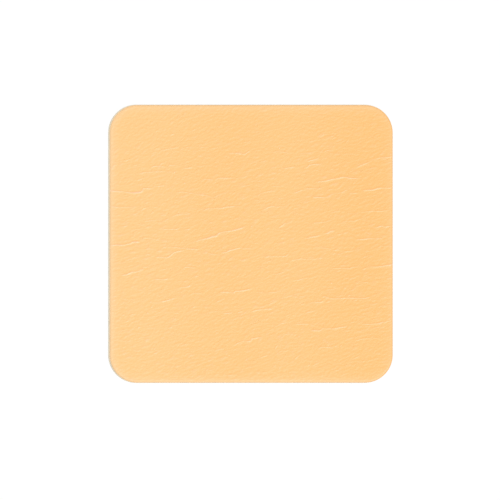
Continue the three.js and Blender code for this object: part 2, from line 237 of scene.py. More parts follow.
low_creases = [
    [(111.5, 162), (117.5, 162.3), (121, 161), (126, 160.2), (129.5, 158.6)],
    [(159, 151), (165, 149.4), (169, 148.7), (179, 146.8)],
    [(149, 167.5), (153, 166.2), (160, 165.8), (165, 166.6)],
    [(167, 167.2), (169.7, 165), (173, 165.2), (180.5, 164)],
    [(181, 167.5), (188, 167.8), (192, 166.2)],
    [(137, 174.2), (142, 172.6), (150.5, 171.8), (165, 171.3)],
    [(150, 187), (157, 186.1), (162, 185.6), (165, 184.5)],
    [
        (174, 193.2), (177, 192), (182, 191.8), (190, 192.9), (200, 194.8),
        (206, 195.3), (210.5, 196.8), (213.5, 197), (218.5, 194.8),
    ],
    [(270, 152.6), (276, 151.4), (282, 151.8), (290, 153.2)],
    [(282, 168.8), (288, 167.5), (295, 166.8)],
    [(256, 195.5), (262, 193), (268, 191.3), (274, 190)],
    [(302.5, 188), (312, 188.2), (321.5, 187.4)],
    [(347, 172), (351.5, 171), (355, 168.8)],
    [(346, 192.8), (352, 192.9), (358, 192.9)],
    [(322, 152.4), (326, 150.7), (330, 150)],
    [(305, 161.5), (309, 160.5), (316, 158.7), (321, 156.8)],
    [(303, 168.4), (306.5, 167.3), (309.5, 164.8), (320, 163.7)],
    [(112, 206.5), (118, 207.3), (125, 207), (130, 206.9), (136, 206.2)],
    [(142, 220.3), (148, 220.6), (153, 220.2), (158, 219.8), (165.5, 218.8)],
    [(165.5, 216.3), (171, 216.4), (176, 214.9), (186, 213.8), (191, 212)],
    [(160.5, 229.2), (167, 229), (175, 229), (180, 227.8)],
    [(136, 255.2), (142, 255.5), (146, 255), (149.3, 253.6)],
    [(160, 247), (170, 246.8), (180, 247.6), (190, 248.8), (199, 249)],
    [(181, 268.8), (184, 267.6), (186.5, 266.8), (197, 268)],
    [
        (259.5, 210.3), (264, 209), (267.5, 207.3), (271.5, 206.1),
        (277, 206.8), (281, 206.1), (290, 206.2),
    ],
    [(289, 260.3), (296, 259.4), (301, 258.4), (305, 259), (312, 258.8), (318, 258.6), (324, 258)],
    [(283, 268.6), (289, 268.7), (292, 267.4), (297.5, 265.6)],
    [(272, 274), (279, 273.4), (282, 272.2), (285, 270.4)],
    [(293, 280), (297, 280), (301, 278.9), (304.5, 277.1)],
    [(243, 284.8), (244.3, 282.4), (248.5, 281.6)],
    [(329.5, 212.6), (334, 211.9), (337, 210.9), (341.5, 210.6)],
    [(311, 222.6), (319, 222.4), (325, 221.4), (330, 220), (333.3, 218.7)],
    [(341, 222.5), (345, 221), (350, 220.6), (354, 220.6), (358, 219.2), (367, 216.6)],
    [(359, 212), (367, 211.5), (374, 211), (381, 210.9), (390, 209.8)],
    [(376.5, 227.3), (380, 226.2), (390, 226)],
    [(376, 248.5), (378, 247.2), (381, 245.8), (390.5, 246)],
    [(331, 250.6), (335.5, 249.9), (338.5, 248.8)],
    [(329.5, 269), (336, 268.1), (342, 268.1), (349.5, 268), (351.5, 267), (357, 267), (360.3, 265.4)],
    [(300.5, 274.3), (304, 272.8), (310.5, 272.4)],
    [(120.5, 315.8), (124.8, 313.9)],
    [(127.5, 316.2), (131, 314.5), (135.3, 313.7)],
    [(137, 328.2), (139.7, 326.2)],
    [(152.5, 354.1), (157, 352.4)],
    [(221, 313), (228.5, 313.2), (233, 311.4)],
    [(236, 313.7), (238, 312.2), (242.5, 311.1)],
    [(268, 305.5), (269.8, 303.5), (273.2, 302.4)],
    [(279, 323.4), (284, 322.8), (287.7, 321.4)],
    [(276, 342), (279, 339), (282, 336.4), (285.3, 334.2), (297, 334.1)],
    [(274.2, 350.8), (275.8, 346.5), (279, 343.8)],
    [(296, 337.3), (299, 335.8), (302.3, 334.4)],
    [(293.3, 359.4), (296, 357.2), (299.2, 355.3)],
    [(294, 324), (302, 323.8), (309, 324.2)],
    [(300, 304.4), (304, 303.4)],
    [(348, 325.2), (349.5, 323), (353, 322), (361, 321)],
    [(316.5, 349.3), (320, 347.3), (328, 346.9), (333, 346.7)],
    [(334, 346.5), (336.5, 345.3)],
    [(339.4, 346.7), (341.4, 344.2)],
    [(312.6, 366.8), (314, 364.2), (317, 363), (318.7, 361.2)],
]

faint_creases = [
    [(182, 148), (188, 147), (192, 146.8)],
    [(171, 153), (174, 151.9), (179, 150.8)],
    [(134, 180.2), (140, 179.2), (144, 177.2)],
    [(163, 183.2), (168, 182), (173, 179.8), (181, 177.5), (190, 174.8)],
    [(165, 189.1), (169, 188.2)],
    [(124, 153), (127, 150.5), (130, 148.6)],
    [(140, 154.2), (144.5, 152.6)],
    [(150.5, 155.6), (155, 153.8)],
    [(169, 135.3), (174.5, 133.4)],
    [(189, 131.4), (192, 130.6), (196, 128.4)],
    [(242.5, 178), (245, 176.5), (247.5, 174.6)],
    [(280, 140.3), (285.5, 137.7)],
    [(262, 161.7), (266.5, 159.5)],
    [(237.5, 184.8), (243.5, 185.6), (250, 184.7)],
    [(213.5, 185), (218, 183.4)],
    [(231, 193.8), (234.5, 192.3)],
    [(325, 171.8), (328, 170), (334, 168)],
    [(315, 171), (318, 169.6)],
    [(301, 149.2), (307, 148.2)],
    [(134, 211.5), (138, 211), (141, 210.2), (144, 208.3), (149, 207.3)],
    [(150, 214.3), (152.5, 211.4)],
    [(121, 223), (124, 221.8), (128, 219.8)],
    [(122, 227.2), (128, 224.8)],
    [(143, 227.5), (146, 227), (150, 226)],
    [(182.5, 229.8), (186, 229.2), (190.5, 228.6)],
    [(129, 238), (132, 236.3), (136, 233.5)],
    [(132, 232.4), (138, 230.7)],
    [(139, 238.3), (145, 237.8), (152, 238.4), (158, 239.5), (164, 240)],
    [(143.5, 249.5), (146, 248.9), (149.5, 245.5)],
    [(203, 252), (210, 253.4), (220, 254.8)],
    [(194.5, 252.8), (200.5, 251)],
    [(169.5, 270.5), (172, 269.4), (175.5, 268.1)],
    [(159.5, 269.6), (165, 268.8), (168, 267)],
    [(142.3, 288.8), (145, 286.8)],
    [(263.5, 231), (267, 228.5), (271, 228)],
    [(289.5, 219), (293, 218), (300, 216.8)],
    [(199.5, 222), (203, 220.8), (208, 219.3)],
    [(263, 278.9), (268, 276.7)],
    [(260.5, 268.5), (263.5, 267.6)],
    [(264.7, 267.7), (268, 265.6)],
    [(280, 239), (284, 237.4)],
    [(240, 200), (244.5, 197.3)],
    [(343, 240.4), (347, 238.9)],
    [(320, 248), (331, 248.3)],
    [(312.5, 248.3), (317, 246.4)],
    [(339, 250.2), (344, 251.2), (350, 250.8), (355, 249.6)],
    [(323.5, 272.2), (327, 270.7), (334, 269.5)],
    [(332, 279.3), (337, 277.8), (341, 276.3)],
    [(339.5, 280.5), (343, 278.9), (349, 277.5)],
    [(355, 283.2), (362, 282.6), (369, 281.6)],
    [(323, 290), (330, 289.2), (337.5, 287.7)],
    [(296, 286.8), (302.5, 286.8), (306, 285)],
    [(310.5, 289.4), (312.3, 287.7)],
    [(189, 294.3), (194, 293), (200, 292.8), (203, 291)],
    [(190, 306.8), (198.5, 306.4)],
    [(125, 321.8), (128.5, 320.4)],
    [(172, 320.4), (176.5, 318.2)],
    [(176, 323.9), (182, 321.8)],
    [(167, 328.3), (172, 326.6)],
    [(154, 296.2), (159.2, 294.2)],
    [(182.5, 306.8), (185.5, 305.8)],
    [(111, 312.5), (114, 311.8)],
    [(205, 312.2), (212, 311.6), (219, 310.7)],
    [(243.3, 313.1), (246, 311.4)],
    [(232, 320.3), (236.5, 317.2), (244, 316.6)],
    [(274.5, 307.8), (276.4, 304.6)],
    [(279, 299), (285, 297), (290, 296.3), (297, 296)],
    [(283, 317), (286, 315.3), (291.3, 314)],
    [(250.3, 323.5), (256.7, 321.1)],
    [(269.3, 330.2), (274.7, 326.6)],
    [(257, 358.5), (264, 356), (269, 354.3)],
    [(271.5, 356), (276, 354), (281, 350.8), (290, 349.6)],
    [(293.7, 348.3), (297.5, 346.9)],
    [(214, 333.1), (217.5, 332)],
    [(369, 320), (374, 318.8), (379.5, 318.3)],
    [(352, 340.5), (357, 340), (361, 339), (366, 338), (381, 338.5)],
    [(310.8, 348.3), (313, 346.2)],
    [(306.5, 366.5), (310.5, 363.9)],
    [(308.7, 322.4), (313.6, 326.3)],
    [(377, 300.2), (379, 298.5), (388.5, 296.3)],
    [(350.3, 318.8), (352.5, 316.5), (356.3, 314.4)],
]

finest_creases = [
    [(130, 165.2), (136, 164.9), (140, 163.4)],
    [(252, 177.5), (261.5, 175.6)],
    [(257, 181), (266.5, 180.7)],
    [(269, 186.3), (281, 186)],
    [(251, 188.5), (260, 188.2)],
    [(331, 153.5), (340, 153.8), (347, 153.5), (360, 154)],
    [(333, 165.2), (339.5, 163.5), (347, 159.8)],
    [(330, 132), (336, 133), (341, 132.6)],
    [(319.5, 140), (325.5, 136.7)],
    [(342, 129.6), (345.5, 127.7)],
    [(333, 143.8), (339, 142.6), (342, 141)],
    [(357, 144.4), (361, 140.2)],
    [(360.5, 151), (368, 148.5)],
    [(358, 171.3), (370, 172)],
    [(151, 207.4), (159, 206.5)],
    [(140, 266.6), (151, 267)],
    [(134, 265.3), (138.5, 263.8)],
    [(178.5, 260.3), (185, 257.4)],
    [(174.5, 276.4), (179, 274.2)],
    [(250, 202.8), (255, 202.3)],
    [(249.5, 243), (260, 242.8)],
    [(202, 290), (211.5, 287.5)],
    [(235, 270), (240, 267.5)],
    [(259.5, 263.9), (268.5, 261.8)],
    [(327.5, 216.4), (332, 214.7)],
    [(365.5, 223.6), (376, 223.9)],
    [(335, 234.4), (342, 234)],
    [(352, 252.8), (360, 250.8)],
    [(164, 335.4), (169, 333.6)],
    [(265, 292), (280, 292.2)],
    [(257, 317.3), (262.5, 314.3)],
    [(250.5, 360.8), (256, 359), (260, 357.8)],
    [(222.5, 366), (228.5, 361)],
    [(288.2, 369.5), (289.8, 377.6)],
    [(283.3, 374), (284.2, 379.5)],
    [(277.4, 370.6), (280, 365.6)],
    [(270.4, 374), (272.4, 379.8)],
    [(301, 371), (302, 378)],
    [(305.5, 371.5), (304.5, 378)],
    [(350, 360.5), (354, 358.2), (361, 354.8)],
    [(362.4, 343), (366, 347.6)],
    [(348, 348.3), (358, 346.2)],
    [(374, 292.4), (380.5, 292)],
]

# Places of the specks, in the same pixels. They stand a quarter of a pixel higher than they were read.
speck_shift = (0, -0.25)
specks = [
    (173.8, 172), (184, 183), (279, 148), (152, 212), (251, 226),
    (390, 154), (240, 260), (198, 306.6), (150, 302), (151, 307),
    (147, 313), (154, 349), (344, 288), (331, 283), (281, 292.6),
]


def on_the_pad(pixels):
    """Where pixels of the photograph lie on the pad, to a thousandth of the pad's width and height."""
    sides = np.array([2 * half_width, 2 * half_height])
    offset = (np.array(pixels) - middle_pixel) / pixels_a_metre * (1, -1)
    return np.round(offset / sides, 3) * sides


def smooth(low, high, value):
    """0 below low, 1 above high and an S-curve between them."""
    share = np.clip((value - low) / (high - low), 0, 1)
    return share * share * (3 - 2 * share)


def in_scene(name, data):
    """A new object of the scene, from its mesh, lamp or camera."""
    thing = bpy.data.objects.new(name, data)
    bpy.context.scene.collection.objects.link(thing)
    return thing


def mesh_piece(name, vertices, faces, material):
    """A smooth-shaded piece from its points and faces, riding on the part."""
    mesh = bpy.data.meshes.new(name)
    mesh.from_pydata(np.asarray(vertices).tolist(), [], faces)
    mesh.validate()
    mesh.polygons.foreach_set("use_smooth", [True] * len(mesh.polygons))
    mesh.materials.append(material)
    piece = in_scene(name, mesh)
    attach(piece, "root")
    return piece


def point_values(piece, name, values):
    """Keeps one number a point on the piece's mesh, for its material to read."""
    attribute = piece.data.attributes.new(name, "FLOAT", "POINT")
    attribute.data.foreach_set("value", np.asarray(values, dtype=np.float32))


class NoiseField:
    """Smooth seeded noise over the pad, stretched one way, with a mean of 0 and a spread of 1."""

    side = 128 * MM
    cells = 512

    def __init__(self, seed, length, width, angle):
        pitch = self.side / self.cells
        frequency = np.fft.fftfreq(self.cells, pitch)
        across, up = np.meshgrid(frequency, frequency)
        turn = np.radians(angle)
        along = across * np.cos(turn) + up * np.sin(turn)
        aside = up * np.cos(turn) - across * np.sin(turn)
        spread = (along * length) ** 2 + (aside * width) ** 2
        band = np.exp(-2 * np.pi**2 * spread) - np.exp(-8 * np.pi**2 * spread)
        white = np.random.default_rng(seed).standard_normal((self.cells, self.cells))
        field = np.real(np.fft.ifft2(np.fft.fft2(white) * band))
        self.field = field / field.std()

    def at(self, x, y):
        """The noise at places of the pad, from the four nearest cells."""
        column = (x / self.side + 0.5) * self.cells
        row = (y / self.side + 0.5) * self.cells
        left = np.floor(column).astype(int)
        below = np.floor(row).astype(int)
        over = column - left
        above = row - below
        left %= self.cells
        below %= self.cells
        right = (left + 1) % self.cells
        top = (below + 1) % self.cells
        lower = self.field[below, left] * (1 - over) + self.field[below, right] * over
        upper = self.field[top, left] * (1 - over) + self.field[top, right] * over
        return lower * (1 - above) + upper * above


NOISE_ALONG = NoiseField(11, 1.3 * MM, 1.3 * MM, 0)
NOISE_ACROSS = NoiseField(21, 0.9 * MM, 0.24 * MM, 14)
NOISE_CORNER = NoiseField(22, 0.7 * MM, 0.24 * MM, 40)
NOISE_RISING = NoiseField(23, 0.8 * MM, 0.27 * MM, 52)
NOISE_FALLING = NoiseField(24, 0.8 * MM, 0.27 * MM, -48)
NOISE_PATCHES = NoiseField(25, 6 * MM, 3 * MM, 15)
NOISE_GRAIN = NoiseField(31, 0.3 * MM, 0.22 * MM, 20)
NOISE_SWELL = NoiseField(32, 12 * MM, 7 * MM, 75)


def curve_through(points, step):
    """A smooth curve through a few points: evenly spaced points on it, and how far along it they are."""
    points = np.vstack([2 * points[0] - points[1], points, 2 * points[-1] - points[-2]])
    share = np.linspace(0, 1, 12, endpoint=False)[:, None]
    spans = []
    for before, start, end, after in zip(points, points[1:], points[2:], points[3:]):
        pull = 2 * before - 5 * start + 4 * end - after
        bend = 3 * start - before - 3 * end + after
        spans.append(start + ((end - before) * share + pull * share**2 + bend * share**3) / 2)
    dense = np.vstack([*spans, points[-2:-1]])
    along = np.concatenate([[0], np.cumsum(np.hypot(*np.diff(dense, axis=0).T))])
    even = np.linspace(0, along[-1], max(round(along[-1] / step), 6) + 1)
    curve = [np.interp(even, along, dense[:, 0]), np.interp(even, along, dense[:, 1])]
    return np.column_stack(curve), even


def corner_share(x, y):
    """1 in the upper left corner of the film and 0 away from it."""
    return 1 - smooth(corner_near, corner_far, np.hypot(x + half_width, y - half_height))


def patch_share(x, y, middle, spread):
    """1 at a place of the film, fading to 0 round it."""
    return np.exp(-(((x - middle[0]) / spread[0]) ** 2 + ((y - middle[1]) / spread[1]) ** 2))


def foot_share(x, y):
    return patch_share(x, y, foot_middle, foot_spread)


def calm_share(x, y):
    return patch_share(x, y, calm_middle, calm_spread)


def relief_share(x):
    return 1 - relief_slope * x / half_width


def wrinkle_relief(x, y):
    """Height of the fine wrinkles between the creases. They stand up from the film in patches."""
    threshold = 0.1
    sharpness = 1.2
    in_corner = corner_share(x, y)
    in_foot = foot_share(x, y)
    mostly = NOISE_ACROSS.at(x, y) * (1 - np.maximum(in_corner, in_foot))
    crossed = NOISE_RISING.at(x, y) + NOISE_FALLING.at(x, y)
    fine = mostly + NOISE_CORNER.at(x, y) * in_corner + 0.8 * crossed * in_foot
    ridges = np.maximum(fine - threshold, 0) ** sharpness
    patches = np.clip(1 + 0.35 * NOISE_PATCHES.at(x, y), 0.35, 1.8)
    return wrinkle_height * relief_share(x) * ridges * patches * (1 - 0.5 * calm_share(x, y))


def film_relief(x, y):
    """Height of the film between the creases: wrinkles, a very fine grain and broad swells."""
    swell = undulation_height * NOISE_SWELL.at(x, y)
    return wrinkle_relief(x, y) + grain_height * NOISE_GRAIN.at(x, y) + swell


def rim_lines(half, step):
    """Grid lines from one border to the other: close together round the soft edge, then a step apart."""
    rim = np.linspace(0, film_radius * np.pi / 2, roll_lines)
    count = round(2 * (half - rim[-1]) / step)
    middle = np.linspace(rim[-1] - half, half - rim[-1], count + 1)
    return np.concatenate([rim[:-1] - half, middle, (half - rim[:-1])[::-1]])


def round_corners(x, y):
    """Bends a rectangle's grid into the pad's outline.

    Gives the points, the way out of the pad at each, and how far each lies in from the sheet's edge.
    """
    corner_x = half_width - corner_radius
    corner_y = half_height - corner_radius
    across = np.maximum(np.abs(x) - corner_x, 0)
    up = np.maximum(np.abs(y) - corner_y, 0)
    reach = np.maximum(across, up)
    turn = np.pi / 4 * np.minimum(across, up) / np.maximum(reach, 1e-9)
    angle = np.where(across >= up, turn, np.pi / 2 - turn)
    in_corner = (across > 0) & (up > 0)
    side_x = half_width + spare - np.abs(x)
    side_y = half_height + spare - np.abs(y)
    out_x = np.where(in_corner, np.cos(angle), side_x < side_y) * np.sign(x)
    out_y = np.where(in_corner, np.sin(angle), side_x >= side_y) * np.sign(y)
    new_x = np.where(in_corner, np.sign(x) * (corner_x + reach * np.cos(angle)), x)
    new_y = np.where(in_corner, np.sign(y) * (corner_y + reach * np.sin(angle)), y)
    return new_x, new_y, out_x, out_y, np.minimum(side_x, side_y)


def grid_faces(rows, columns):
    """Quads of a grid whose points run row by row."""
    corner = (np.arange(rows - 1)[:, None] * columns + np.arange(columns - 1)).reshape(-1)
    return np.stack([corner, corner + 1, corner + columns + 1, corner + columns], axis=1).tolist()


def border(rows, columns):
    """The grid's outer points, counter-clockwise from above."""
    low = np.arange(columns)
    right = np.arange(1, rows) * columns + columns - 1
    top = (rows - 1) * columns + np.arange(columns - 2, -1, -1)
    left = np.arange(rows - 2, 0, -1) * columns
    return np.concatenate([low, right, top, left])


def ring_faces(upper, lower):
    """Quads between two rings of as many points, facing out where both run counter-clockwise."""
    following = np.roll(np.arange(len(upper)), -1)
    quads = [lower, lower[following], upper[following], upper]
    return np.stack(quads, axis=1).tolist()


def stack_faces(rings, count):
    """Faces of a closed stack of rings, from the lowest to the highest, each of count points."""
    faces = []
    for ring in range(rings - 1):
        lower = ring * count + np.arange(count)
        faces += ring_faces(lower + count, lower)
    faces.append(np.arange(count)[::-1].tolist())
    faces.append(((rings - 1) * count + np.arange(count)).tolist())
    return faces


def lay_film(x, y, out_x, out_y, inset, height):
    """Places points of the flat film sheet on the pad, round its soft edge, raised by their height."""
    height = height * smooth(0, film_radius, inset)
    lean = np.minimum(inset / film_radius, np.pi / 2)
    rolled = np.where(lean < np.pi / 2, edge_middle - film_radius * np.cos(lean), inset - spare)
    outward = inset - spare - rolled + height * np.cos(lean)
    level = roll_bottom + (film_radius + height) * np.sin(lean)
    return np.stack([x + out_x * outward, y + out_y * outward, level], axis=-1)


def make_film(material):
    """The backing film: a thin closed sheet that lies on the foam and rolls over its soft edge."""
    lines_x = rim_lines(half_width + spare, film_step_x)
    lines_y = rim_lines(half_height + spare, film_step_y)
    flat_x, flat_y = (lines.reshape(-1) for lines in np.meshgrid(lines_x, lines_y))
    x, y, out_x, out_y, inset = round_corners(flat_x, flat_y)
    top = lay_film(x, y, out_x, out_y, inset, film_relief(x, y))

    rows, columns = len(lines_y), len(lines_x)
    faces = grid_faces(rows, columns)
    rim = border(rows, columns)
    points = [top]
    upper = rim
    start = len(top)
    middle_x = x[rim] + out_x[rim] * (inset[rim] - spare - edge_middle)
    middle_y = y[rim] + out_y[rim] * (inset[rim] - spare - edge_middle)
    for lean in np.linspace(0, np.pi / 2, lip_lines):
        out = edge_radius * np.cos(lean)
        level = np.full(len(rim), roll_bottom + edge_radius * np.sin(lean))
        points.append(np.stack([middle_x + out_x[rim] * out, middle_y + out_y[rim] * out, level], axis=1))
        lower = start + np.arange(len(rim))
        faces += ring_faces(upper, lower)
        upper = lower
        start += len(rim)
    faces.append(upper[::-1].tolist())

    film = mesh_piece("film_sheet", np.concatenate(points), faces, material)
    under = np.zeros(start - len(top))
    point_values(film, "rim", np.concatenate([film_rim_light(out_x, out_y, inset), under]))
    point_values(film, "edge", np.concatenate([film_edge(inset), under + 1]))
    point_values(film, "painted_sheen", np.concatenate([film_painted_sheen(x), under]))
    point_values(film, "crest", np.concatenate([film_crest(wrinkle_relief(x, y)), under]))
    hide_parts("backing_film")
    return film


def film_rim_light(out_x, out_y, inset):
    """How far the film's colour has gone over to its rim's painted light, which is strongest at the left.
    """
    palest = rim_light + rim_light_slope[0] * out_x + rim_light_slope[1] * out_y
    return palest * np.exp(-np.maximum(inset - rim_width, 0) / rim_fade)


def film_edge(inset):
    """1 at the film's cut edge, fading to 0 where its flat begins."""
    return 1 - smooth(0, edge_fade, inset)


def film_crest(relief):
    """How far the film's colour has gone over to its crests': paler film off the foam, and partly painted
    highlight.
    """
    return np.clip(relief / full_crest, 0, 1)


def film_painted_sheen(x):
    """How much painted sheen the film has: most at its left side, in broad bands of painted sheen and
    shade.
    """
    band = np.cos(2 * np.pi * (x - sheen_and_shade_band_place) / sheen_and_shade_band_length)
    return np.clip(sheen_middle - sheen_slope * x / half_width + sheen_and_shade_band * band, 0, 1)


def over_the_sides(points):
    """Lengthens a crease that reaches the left or right side, so that it runs over the soft edge."""
    side = half_width + spare - side_margin
    nearly_there = 0.97 * half_width
    steepest = 0.5
    for tip, beside in ((0, 1), (-1, -2)):
        if abs(points[tip, 0]) > nearly_there:
            slope = (points[tip, 1] - points[beside, 1]) / (points[tip, 0] - points[beside, 0])
            edge_x = np.copysign(side, points[tip, 0])
            edge_y = points[tip, 1] + np.clip(slope, -steepest, steepest) * (edge_x - points[tip, 0])
            points = np.insert(points, len(points) if tip else 0, (edge_x, edge_y), axis=0)
    return points


def crease_strip(points, height, width, step, section):
    """One crease: a ridge that runs out in the film at both tips, or over the pad's edge.

    Gives its points and, for the film's look, how far each lies in, its X and its share of a full crest.
    """
    crest, along = curve_through(points, step)
    ramp = min(crease_ramp, 0.45 * along[-1])
    starts = 1 if abs(crest[0, 0]) > half_width else smooth(0, ramp, along)
    ends = 1 if abs(crest[-1, 0]) > half_width else smooth(0, ramp, along[-1] - along)
    ahead = np.gradient(crest, axis=0)
    ahead /= np.hypot(*ahead.T)[:, None]
    x = crest[:, :1] - ahead[:, 1:] * section * width
    y = crest[:, 1:] + ahead[:, :1] * section * width
    uneven = np.clip(1 + crease_unevenness * NOISE_ALONG.at(x, y), 0.3, 2)
    ridge = height * (starts * ends)[:, None] * np.exp(-(section**2)) * uneven * relief_share(x)
    tuck = crease_lift * (1 - 2 * (np.abs(section) > tucked_from))
    inset = half_width + spare - np.abs(x)
    raised = film_relief(x, y) + ridge + tuck
    crest = film_crest(wrinkle_relief(x, y) + ridge)
    return lay_film(x, y, np.sign(x), np.zeros_like(x), inset, raised), inset, x, crest


def crease_piece(name, strips, material):
    """Strips joined into one piece that stands on the film."""
    faces = []
    start = 0
    for strip, *_ in strips:
        rows, columns = strip.shape[:2]
        faces += [[start + corner for corner in face] for face in grid_faces(rows, columns)]
        start += rows * columns
    points, insets, places, crests = (
        np.concatenate([part.reshape(-1) for part in parts]) for parts in zip(*strips)
    )
    piece = mesh_piece(name, points.reshape(-1, 3), faces, material)
    point_values(piece, "rim", film_rim_light(np.sign(places), 0, insets))
    point_values(piece, "edge", film_edge(insets))
    point_values(piece, "painted_sheen", film_painted_sheen(places))
    point_values(piece, "crest", crests)
    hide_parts("backing_film")
    return piece


def make_creases(material):
    """The creases that were read off the photograph."""
    kinds = {
        "bold": bold_creases,
        "high": high_creases,
        "low": low_creases,
        "faint": faint_creases,
        "finest": finest_creases,
    }
    strips = []
    for kind, creases in kinds.items():
        for crease in creases:
            points = on_the_pad(crease)
            points[:, 0] = np.clip(points[:, 0], -crease_reach, crease_reach)
            points = over_the_sides(points)
            strips.append(crease_strip(points, *crease_sizes[kind], crease_step, crease_section))
    return crease_piece("film_creases", strips, material)


def make_specks(material):
    """Tiny blisters of the film, each a very short crease that rises to the right."""
    step = speck_length / 8
    reach = np.array([[-0.5], [0], [0.5]]) * (0.9 * speck_length, 0.4 * speck_length)
    strips = [
        crease_strip(speck + reach, speck_height, speck_width, step, crease_section)
        for speck in on_the_pad(np.array(specks) + speck_shift)
    ]
    return crease_piece("film_specks", strips, material)


def in_rounded_corner(x, y):
    """Whether a place is at one of the pad's rounded corners, or too near a side for a fine crease."""
    across = abs(x) - half_width + corner_radius
    up = abs(y) - half_height + corner_radius
    return min(across, up) > 0 or max(across, up) > corner_radius - fine_crease_margin


def make_fine_creases(material):
    """Short creases from a seeded generator. They follow the grain and thin out where it is calm."""
    chance = np.random.default_rng(61)
    strips = []
    while len(strips) < fine_crease_count:
        middle = chance.uniform(-0.97, 0.97, 2) * (half_width - edge_middle, half_height - edge_middle)
        x, y = middle
        if chance.random() < 0.6 * calm_share(x, y) or in_rounded_corner(x, y):
            continue
        way = grain_way + corner_turn * corner_share(x, y) + chance.normal(0, way_spread)
        if chance.random() < foot_share(x, y):
            way = chance.choice(foot_ways) + chance.normal(0, foot_way_spread)
        length = chance.uniform(*fine_crease_lengths)
        along = np.linspace(-0.5, 0.5, fine_crease_points)[:, None] * length
        aside = chance.normal(0, fine_crease_waver, (fine_crease_points, 1)) * length
        turn = np.radians(way)
        ahead = np.array([np.cos(turn), np.sin(turn)])
        points = middle + along * ahead + aside * (-ahead[1], ahead[0])
        height = fine_crease_height * chance.uniform(0.4, 1.4)
        strip = crease_strip(points, height, fine_crease_width, fine_crease_step, fine_crease_section)
        strips.append(strip)
    return crease_piece("film_fine_creases", strips, material)


def outline_path(step):
    """Points a step apart round the outline: the middle of each one's turn, and the way out of the pad."""
    straight_x = 2 * (half_width - corner_radius)
    straight_y = 2 * (half_height - corner_radius)
    arc = corner_radius * np.pi / 2
    middles, ways = [], []
    for corner, side in enumerate([straight_y, straight_x, straight_y, straight_x]):
        sign_x = 1 if corner in (0, 3) else -1
        sign_y = 1 if corner < 2 else -1
        middle = np.array([sign_x * straight_x / 2, sign_y * straight_y / 2])
        first = corner * np.pi / 2
        before = np.array([np.cos(first), np.sin(first)])
        behind = np.array([np.sin(first), -np.cos(first)])
        for place in np.arange(round(side / step)) / round(side / step):
            middles.append(middle + behind * side * (1 - place))
            ways.append(before)
        for place in np.arange(round(arc / step)) / round(arc / step):
            angle = first + place * np.pi / 2
            middles.append(middle)
            ways.append(np.array([np.cos(angle), np.sin(angle)]))
    return np.array(middles), np.array(ways)


def pore_depth(around, level, seed, count, span, rise, radius):
    """How deep the cut cells of the foam are at each point of its wall, unrolled."""
    spots = np.random.default_rng(seed).uniform([0, 0], [span, rise], (count, 2))
    sizes = np.random.default_rng(seed + 1).uniform(0.45, 1, count) * radius
    depth = np.zeros(around.shape)
    columns = around[0]
    for (spot, up), size in zip(spots, sizes):
        gap = np.abs(columns - spot)
        near = np.nonzero(np.minimum(gap, span - gap) < size)[0]
        aside = np.minimum(gap[near], span - gap[near])
        distance = np.hypot(aside[None, :], level[:, near] - up)
        cup = size * np.sqrt(np.clip(1 - (distance / size) ** 2, 0, 1))
        depth[:, near] = np.maximum(depth[:, near], cup)
    return depth


def make_foam(material):
    """The foam: a closed pad whose cut wall shows its open cells, softly rounded under the film."""
    middles, ways = outline_path(foam_step)
    count = len(middles)
    wall_levels = np.linspace(pad_high.z, roll_bottom, foam_levels)
    flare = edge_flare * (wall_levels - pad_high.z) / (roll_bottom - pad_high.z)
    span = count * foam_step
    around = np.tile(np.arange(count) * foam_step, (foam_levels, 1))
    level = np.tile(wall_levels[:, None], (1, count))
    depth = pore_depth(around, level, 41, pore_count, span, roll_bottom, pore_radius)
    fade = smooth(0, pore_fade_top, roll_bottom - level)
    fade *= smooth(0, pore_fade_bottom, level - pad_high.z)
    reach = corner_radius - flare[:, None] - pore_share * depth * fade
    wall = [
        np.column_stack([middles + ways * reach[row][:, None], level[row]])
        for row in range(foam_levels)
    ]
    edge = []
    for lean in np.linspace(0, np.pi / 2, foam_edge_lines)[1:]:
        out = corner_radius - edge_middle + edge_radius * np.cos(lean)
        height = np.full(count, roll_bottom + edge_radius * np.sin(lean) - foam_gap)
        edge.append(np.column_stack([middles + ways * out, height]))
    rings = wall + edge
    faces = stack_faces(len(rings), count)
    foam = mesh_piece("foam_block", np.concatenate(rings), faces, material)
    # How deep each point lies in a cut cell, which sets the painted shade in the cells.
    pore_shade_depth = np.concatenate([(depth * fade).reshape(-1) / pore_radius, np.zeros(len(edge) * count)])
    point_values(foam, "pore_shade", pore_shade_depth)
    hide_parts("foam_pad")
    return foam


# The sockets that a Mix node of colours uses, by number, because its other sockets share their names.
MIX_SHARE = 0
MIX_FIRST = 6
MIX_SECOND = 7
MIX_RESULT = 2


